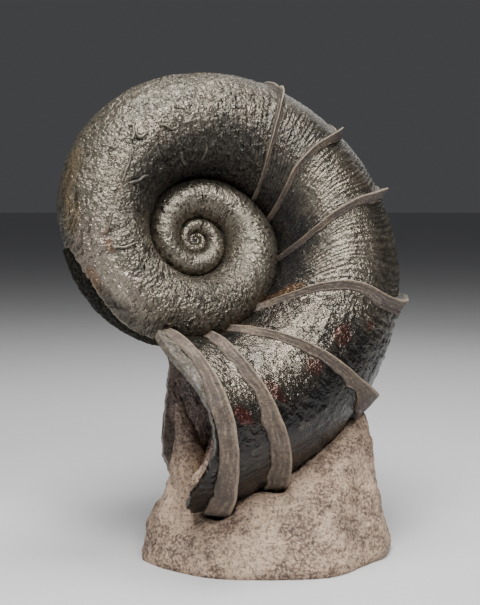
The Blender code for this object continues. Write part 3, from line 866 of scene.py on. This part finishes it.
def shell_material():
    tree, shader, material = new_material('fossil_shell', Specular_IOR_Level=0.6)
    place, coat, seat = surface_place(tree), shell_place(tree), attribute(tree, 'place')
    turn, around, broken = parts(seat)
    along, across, _ = parts(coat)
    small, lip, rim = parts(attribute(tree, 'wear'))

    lines = noise(warp(vector(tree, along, across * 0.22), 60.0, 0.005), 430.0, 2.0, 0.6)
    coat_even = vector(tree, along, across * 0.7)
    crinkle = ridges(warp(coat_even, 130.0, 0.006), 225.0, 3.0, 4.0)
    fine_crinkle = ridges(warp(coat_even, 300.0, 0.003), 400.0, 2.0, 5.0)
    pits = noise(place, 450.0, 3.0, 0.65)
    crumpled = turn.ramp(0.8, 1.3, 0.45, 1.0)
    ribbed = turn.ramp(1.82, 1.88) * turn.ramp(2.10, 2.04)
    crumpled *= 1.0 - ribbed * 0.55 - turn.ramp(2.08, 2.14) * 0.52
    late = turn.ramp(2.04, 2.14)
    height = (crinkle + fine_crinkle * 0.35) * crumpled + (lines * 0.9 + pits * 0.6) * (1.0 - late * 0.8)
    bump(tree, shader, height, 1.0, 0.0010)

    ragged = noise(place, 130.0, 4.0, 0.65) * 1.6
    colour = blend(stain(tree, place, 0.030, 0.00), OLIVE_GREY, BRONZE)
    colour = blend(stain(tree, place, 0.014, 0.04, 0.14) * 0.4, colour, OLIVE_BLACK)
    colour = blend(turn.ramp(1.28, 1.02) * 0.56, colour, SILVER_WEAR_AND_HIGHLIGHT)
    # Darker olive brown and duller towards the outer rim of the later whorl: partly the rim's own tone,
    # partly painted shade.
    rim_side = (abs(around) + ragged * 0.3).ramp(1.55, 0.70)
    rim_side *= turn.ramp(1.50, 1.62) * turn.ramp(2.14, 2.06)
    colour = blend(rim_side * 0.80, colour, OLIVE_BROWN)
    # Painted highlight: a lighter silver band along the flank where the lamp's highlight falls, narrower and
    # weaker on the later stretches.
    low_flank = around - turn.ramp(2.10, 2.18) * 0.35
    flank_highlight = low_flank.ramp(1.15, 1.45) * around.ramp(2.40, 1.90) * turn.ramp(1.86, 1.92)
    flank_highlight *= 0.43 - ribbed * 0.18 - late * 0.12 - turn.ramp(2.06, 2.09) * turn.ramp(2.17, 2.13) * 0.20
    colour = blend(flank_highlight, colour, SILVER_WEAR_AND_HIGHLIGHT)
    worn = small * (1.0 - late * 0.35) + (height - 0.55 + ribbed * 0.36 + late * 0.22) * (0.80 - late * 0.40)
    colour = blend(worn.ramp(0.15, 0.85) * (0.36 - rim_side * 0.16), colour, SILVER_WEAR_AND_HIGHLIGHT)
    colour = blend(worn.ramp(0.07, -0.43) * (0.90 - late * 0.35), colour, OLIVE_BLACK)
    # Painted shade: the slope towards the umbilicus and the underside of the body chamber are darkened
    # towards slate black where shade falls; on the middle of the flank this is partly the shell's own darker
    # tone.
    slope = around.ramp(1.42, 2.10) * turn.ramp(1.46, 1.60) * turn.ramp(1.90, 1.80) * 0.65
    slope += around.ramp(2.10, 2.60) * turn.ramp(1.80, 1.90) * turn.ramp(2.18, 2.05) * 0.65
    underside = (abs(around) + ragged * 0.40).ramp(2.05, 1.15)
    underside *= turn.ramp(2.07, 2.17) * 0.68
    painted_shade = (slope.maths('MAXIMUM', underside) + ragged * 0.12).clamp()
    colour = blend(painted_shade, colour, SLATE_SHADE)
    # Lighter silver on the raised relief under the body chamber: partly worn scratches, partly painted glints
    # on top of the painted shade.
    colour = blend(underside * small.ramp(0.35, 0.80) * 0.35, colour, SILVER_WEAR_AND_HIGHLIGHT)
    for tint, patch_turn, patch_around, turn_reach, around_reach in SHELL_PATCHES:
        mask = place_group(tree, PATCH, Shell_Place=seat, Ragged=ragged, Turn=patch_turn, Around=patch_around,
                           Turn_Reach=turn_reach, Around_Reach=around_reach)['Mask']
        colour = blend(mask * (pits * 1.5 + 0.50).clamp() * 0.85, colour, tint)
    # Pale band along the break and the edge of the outer layer: partly the broken edge's own colour, partly
    # painted highlight.
    colour = blend(broken.ramp(0.02, 0.16) * 0.60, colour, PALE_EDGE_AND_HIGHLIGHT)
    # The break scar's dark inner layer, made darker still as painted shade where the scar faces down towards
    # the floor.
    colour = blend(broken.ramp(0.18, 0.35) * (pits * 1.2 + 1.0).clamp(), colour, INNER_LAYER_AND_SHADE)
    pale_lip = lip.ramp(0.02, 0.3) * abs(around + ragged * 0.25).ramp(0.95, 1.15)
    pale_lip = pale_lip.maths('MAXIMUM', (rim + ragged * 0.15).ramp(0.3, 0.7))
    speckles = noise(place, 400.0, 3.0, 0.7)
    lip_colour = blend(stain(tree, place, 0.009, -0.02), LIP_GREEN, LIP_PALE)
    # Lighter brown on the far side of the lip: partly its own colour, partly painted light where it faces
    # away from the lamps.
    lip_colour = blend((around + ragged * 0.2).ramp(0.2, -0.2), lip_colour, LIP_BROWN)
    lip_colour = blend(speckles.ramp(0.00, -0.12) * 0.8, lip_colour, LIP_DARK)
    lip_colour = blend(speckles.ramp(0.04, 0.12) * 0.6, lip_colour, PALE_EDGE_AND_HIGHLIGHT)
    colour = blend(pale_lip, colour, lip_colour)
    put(shader.inputs['Base Color'], colour)
    dull = (pale_lip + broken.ramp(0.05, 0.4) + rim_side * 0.45).clamp()
    put(shader.inputs['Metallic'], 0.80 - dull * 0.78)
    put(shader.inputs['Specular IOR Level'], 0.6 - broken.ramp(0.2, 0.5) * 0.58)
    polished = late * 0.06
    roughness = 0.28 + noise(place, 160.0, 3.0) * 0.30 + (broken + pale_lip) * 0.25 - polished
    put(shader.inputs['Roughness'], roughness)
    return material


# Colours of the collars, from the back foot to the front foot
# The dark back of each collar is painted shade; the darker violet-grey faces of the early collars are partly
# their own colour, partly painted shade.
COLLAR_DARK_AND_BACK_SHADE = (0.070, 0.062, 0.052)
COLLAR_CREST = (0.310, 0.243, 0.176)
COLLAR_FACE = (0.088, 0.071, 0.068)
COLLAR_FACE_WARM = (0.130, 0.099, 0.074)
COLLAR_BEIGE = (0.143, 0.107, 0.080)
COLLAR_GROOVE = (0.040, 0.032, 0.028)


def collar_material():
    tree, shader, material = new_material('worn_collar', Specular_IOR_Level=0.35)
    place, seat = surface_place(tree), attribute(tree, 'place')
    turn, around, section = parts(seat)
    grain = place_group(tree, GRAIN, Place=place, Size=0.0028)
    bump(tree, shader, grain['Height'], 1.0, 0.0024)
    shifted = section + noise(place, 160.0, 3.0) * 0.08
    face = blend(stain(tree, place, 0.022, 0.02), COLLAR_FACE, COLLAR_FACE_WARM)
    face = blend(turn.ramp(2.10, 2.18) * (stain(tree, place, 0.015, -0.04) * 0.5 + 0.3), face, COLLAR_BEIGE)
    face = blend(stain(tree, place, 0.006, 0.10, 0.08) * 0.30, face, COLLAR_DARK_AND_BACK_SHADE)
    # Painted shade on the back of the collar, then its pale crest, then its face.
    colour = blend(shifted.ramp(0.24, 0.31), COLLAR_DARK_AND_BACK_SHADE, COLLAR_CREST)
    colour = blend(shifted.ramp(0.38, 0.44), colour, face)
    # Painted shade in the groove before the front foot, broken up by noise.
    groove_shade = shifted.ramp(0.70, 0.76) * shifted.ramp(0.82, 0.77) * noise(place, 55.0, 2.0).ramp(-0.05, 0.15)
    colour = blend(groove_shade * 0.6, colour, COLLAR_GROOVE)
    length, width, _ = parts(shell_place(tree))
    streak = noise(vector(tree, length * 0.12, width), 330.0, 3.0, 0.6)
    speckle = noise(place, 450.0, 2.0, 0.8) * 0.6 + streak
    colour = blend(speckle.ramp(0.02, 0.12) * 0.50, colour, COLLAR_CREST)
    colour = blend(speckle.ramp(-0.03, -0.12) * 0.28, colour, COLLAR_GROOVE)
    colour = blend(grain['Hollows'] * 0.3, colour, COLLAR_GROOVE)
    put(shader.inputs['Base Color'], colour)
    put(shader.inputs['Roughness'], 0.70 + noise(place, 90.0, 2.0) * 0.3)
    return material


LIMESTONE = (0.300, 0.208, 0.155)
LIMESTONE_PALE = (0.740, 0.540, 0.390)
LIMESTONE_MAUVE = (0.100, 0.077, 0.076)
LIMESTONE_STAIN = (0.340, 0.190, 0.085)
MUD_BROWN = (0.170, 0.127, 0.112)
MUD_VIOLET = (0.085, 0.072, 0.080)


def stone_material(name, mud):
    """Limestone that turns to brown mud up in the mouth; mud is how much of it there is."""
    tree, shader, material = new_material(name, Specular_IOR_Level=0.25)
    place = surface_place(tree)
    grain = place_group(tree, GRAIN, Place=place, Size=0.0050)
    fine = place_group(tree, GRAIN, Place=place, Size=0.0023)
    bump(tree, shader, grain['Height'] + fine['Height'] * 0.5, 1.0, 0.0090)
    across, _, up = parts(place)
    in_mouth = (up + noise(place, 45.0, 3.0) * 0.03).ramp(0.068, 0.088) * across.ramp(-0.008, -0.018) * mud
    colour = blend(stain(tree, place, 0.026, 0.01, 0.05), LIMESTONE, LIMESTONE_PALE)
    colour = blend(stain(tree, place, 0.009, 0.05, 0.06) * 0.7, colour, LIMESTONE_PALE)
    colour = blend(stain(tree, place, 0.018, 0.14, 0.05) * 0.5, colour, LIMESTONE_STAIN)
    colour = blend(stain(tree, place, 0.006, 0.09, 0.05) * 0.30, colour, LIMESTONE_MAUVE)
    mud_colour = blend(stain(tree, place, 0.012, 0.0, 0.10), MUD_BROWN, MUD_VIOLET)
    colour = blend(in_mouth, colour, mud_colour)
    speckle = noise(place, 520.0, 2.0, 0.8)
    depth = 1.0 - in_mouth * 0.6
    colour = blend(speckle.ramp(0.01, 0.07) * 0.75 * depth, colour, LIMESTONE_PALE)
    colour = blend(grain['Hollows'] * 0.35, colour, LIMESTONE_MAUVE)
    colour = blend(speckle.ramp(-0.03, -0.09) * 0.60, colour, LIMESTONE_MAUVE)
    put(shader.inputs['Base Color'], colour)
    put(shader.inputs['Roughness'], 0.88 + noise(place, 120.0, 2.0) * 0.2)
    return material


SHELL = shell_material()
COLLAR = collar_material()
ROCK = stone_material('pale_limestone', 0.75)
FILL = stone_material('hardened_mud', 1.0)

GROWTH = growth_group()
TUBE_POINT = tube_point_group(GROWTH)
SLANTING_LINE = slanting_line_group()
MOUTH_EDGE = mouth_edge_group(SLANTING_LINE)


# Stretches of the shell, each a piece: first and last line, turns it is drawn between, its sizes.
# Neighbours overlap: two joints lie under the first and fourth collars, and on the inner coil one
# stretch's rounded end runs out inside the other.
FIRST_LINE = (FIRST_TURN, 0.0, 0.0, 0.0, 0.0)
OVERLAP = 0.003
SHELL_STRETCHES = {
    'inner_whorls': (FIRST_LINE, FIRST_COLLAR, FIRST_TURN, 1.080, dict(
        Steps_Along=330, Steps_Around=190, Crowding=0.40, Rounded_Start=0.02, Rounded_End=0.012)),
    'outer_whorl': (FIRST_LINE, FIRST_COLLAR, 1.046, FIRST_COLLAR[0] + OVERLAP, dict(
        Steps_Along=420, Steps_Around=236, Rounded_Start=0.012)),
    'early_chamber': (FIRST_COLLAR, FOURTH_COLLAR, FIRST_COLLAR[0] - OVERLAP,
                      FOURTH_COLLAR[0] + OVERLAP, dict(Steps_Along=200, Steps_Around=290)),
    'body_chamber': (FOURTH_COLLAR, MOUTH_LINE, FOURTH_COLLAR[0] - OVERLAP, MOUTH_LINE[0], dict(
        Steps_Along=310, Steps_Around=300, Outside_Part=0.72, Lip_Thickness=0.0045,
        Rounded_End=0.03, Lining_Turn=2.220, Edge_Wear=0.006, Mouth=1.0)),
}


def make_shell():
    tree = shell_tree(GROWTH, TUBE_POINT, SLANTING_LINE, MOUTH_EDGE, SHELL)
    for name, (start, end, drawn_from, drawn_to, sizes) in SHELL_STRETCHES.items():
        mesh = grow(name, tree, From=drawn_from, To=drawn_to, **sizes,
                    **line_inputs('Start', start), **line_inputs('End', end))
        add_piece(name, coil_mesh(mesh))


def joined(name, meshes, material):
    """One mesh of many."""
    shape = bmesh.new()
    for mesh in meshes:
        shape.from_mesh(mesh)
    whole = bpy.data.meshes.new(name)
    shape.to_mesh(whole)
    shape.free()
    whole.materials.append(material)
    return whole


def make_collars():
    tree = collar_tree(TUBE_POINT, SLANTING_LINE, MOUTH_EDGE, COLLAR)
    collars = []
    for number, (line, form) in enumerate(zip(COLLARS, COLLAR_FORMS), 1):
        ramp, crest, tip, rise, past, widening = form
        mesh = grow(f'collar_{number}', tree, Ramp=ramp, Crest=crest, Tip_Angle=radians(tip),
                    Tip_Rise=rise, Past_Tip=past, Widening=widening, Seed=float(number),
                    **dict(zip(LINE_NAMES, line)))
        collars.append(coil_mesh(mesh))
    add_piece('collars', joined('collars', collars, COLLAR))


def make_worm_casts():
    tree = worm_cast_tree(TUBE_POINT, SHELL)
    casts = []
    for radius, *points in WORM_CASTS:
        line = bpy.data.meshes.new('worm_line')
        smooth = rounded_line([(turn, radians(angle), 0.0) for turn, angle in points])
        line.from_pydata(smooth, [(number, number + 1) for number in range(len(smooth) - 1)], [])
        casts.append(coil_mesh(grow('worm_cast', tree, base=line, Radius=radius)))
    add_piece('worm_casts', joined('worm_casts', casts, SHELL))


def rounded_line(points):
    """Points of a line with its corners cut twice."""
    for _ in range(2):
        rounded = [points[0]]
        for first, second in zip(points, points[1:]):
            for share in (0.25, 0.75):
                rounded.append(tuple(a + (b - a) * share for a, b in zip(first, second)))
        points = rounded + [points[-1]]
    return points


def make_mouth_fill():
    add_piece('mouth_fill', coil_mesh(grow('mouth_fill', fill_tree(TUBE_POINT, FILL))))


STONE_VOXEL = 0.0016
STONE_ROUNDING = 0.0026


def make_stone():
    """The solid stone with even faces, rounded edges and a rock's relief."""
    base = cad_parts["matrix_stone"].data.copy()
    shape = bmesh.new()
    shape.from_mesh(base)
    bmesh.ops.remove_doubles(shape, verts=shape.verts, dist=0.00001)
    shape.to_mesh(base)
    shape.free()
    source = new_object('stone_source', base)
    for reach in (0.0, STONE_ROUNDING, -STONE_ROUNDING):
        if reach:
            swell = source.modifiers.new('swell', 'DISPLACE')
            swell.mid_level = 0.0
            swell.strength = reach
        even = source.modifiers.new('even', 'REMESH')
        even.mode = 'VOXEL'
        even.voxel_size = STONE_VOXEL
    soften = source.modifiers.new('soften', 'SMOOTH')
    soften.factor = 0.5
    soften.iterations = 12
    smooth = plain_mesh(source)
    for vertex in smooth.vertices:
        if vertex.co.z < STONE_VOXEL:
            vertex.co.z = 0.0
    stone = grow('stone', rock_tree(ROCK), base=smooth)
    add_piece('stone', stone, 'matrix_stone')


make_shell()
make_collars()
make_worm_casts()
make_mouth_fill()
make_stone()


# Camera: metres in a photograph's pixel at the coil's middle; then, in such pixels, the picture's
# height, the way from the camera to the coil, and the picture's middle right of the coil's and above it
PIXEL = 0.0007
PICTURE_HEIGHT = 605
VIEW_LENGTH = 1205
MIDDLE_OFF = (44.4, -62.3)
CAMERA_RAISED = radians(2.0)


def make_camera():
    up = Vector((0.0, sin(CAMERA_RAISED), cos(CAMERA_RAISED)))
    back = Vector((0.0, -cos(CAMERA_RAISED), sin(CAMERA_RAISED)))
    look = Vector((MIDDLE_OFF[0], 0.0, 0.0)) + up * MIDDLE_OFF[1] - back * VIEW_LENGTH
    data = bpy.data.cameras.new('camera')
    data.lens = data.sensor_width * VIEW_LENGTH / PICTURE_HEIGHT
    data.clip_end = 20.0
    camera = new_object('camera', data)
    camera.location = COIL_CENTRE + back * VIEW_LENGTH * PIXEL
    camera.rotation_euler = look.to_track_quat('-Z', 'Y').to_euler()
    bpy.context.scene.camera = camera


# Lights: place, width, power
LIGHTS = {
    'key': ((-0.12, -0.55, 1.20), 0.45, 15.0),
    'top': ((0.06, 0.02, 1.30), 0.50, 12.0),
    'side': ((-0.95, -0.60, 0.60), 0.40, 1.8),
    'fill': ((0.34, -0.71, 0.86), 0.30, 5.5),
    'back': ((0.40, 0.90, 0.80), 0.60, 1.5),
}
LIT_POINT = Vector((0.0, 0.0, 0.18))


def make_light(name, place, size, power):
    data = bpy.data.lights.new(name, 'AREA')
    data.size = size
    data.energy = power
    light = new_object(name, data)
    light.location = place
    light.rotation_euler = (LIT_POINT - Vector(place)).to_track_quat('-Z', 'Y').to_euler()


def make_floor():
    mesh = bpy.data.meshes.new('floor')
    shape = bmesh.new()
    bmesh.ops.create_grid(shape, x_segments=1, y_segments=1, size=40.0)
    shape.to_mesh(mesh)
    shape.free()
    tree, shader, material = new_material('pale_floor', Roughness=0.9, Specular_IOR_Level=0.2)
    shader.inputs['Base Color'].default_value = (0.66, 0.66, 0.66, 1.0)
    mesh.materials.append(material)
    new_object('floor', mesh)


def make_world():
    world = bpy.data.worlds.new('studio')
    world.use_nodes = True
    world.node_tree.nodes['Background'].inputs['Color'].default_value = (0.75, 0.76, 0.80, 1.0)
    world.node_tree.nodes['Background'].inputs['Strength'].default_value = 0.08
    bpy.context.scene.world = world


make_camera()
make_floor()
make_world()
for name, (place, size, power) in LIGHTS.items():
    make_light(name, place, size, power)
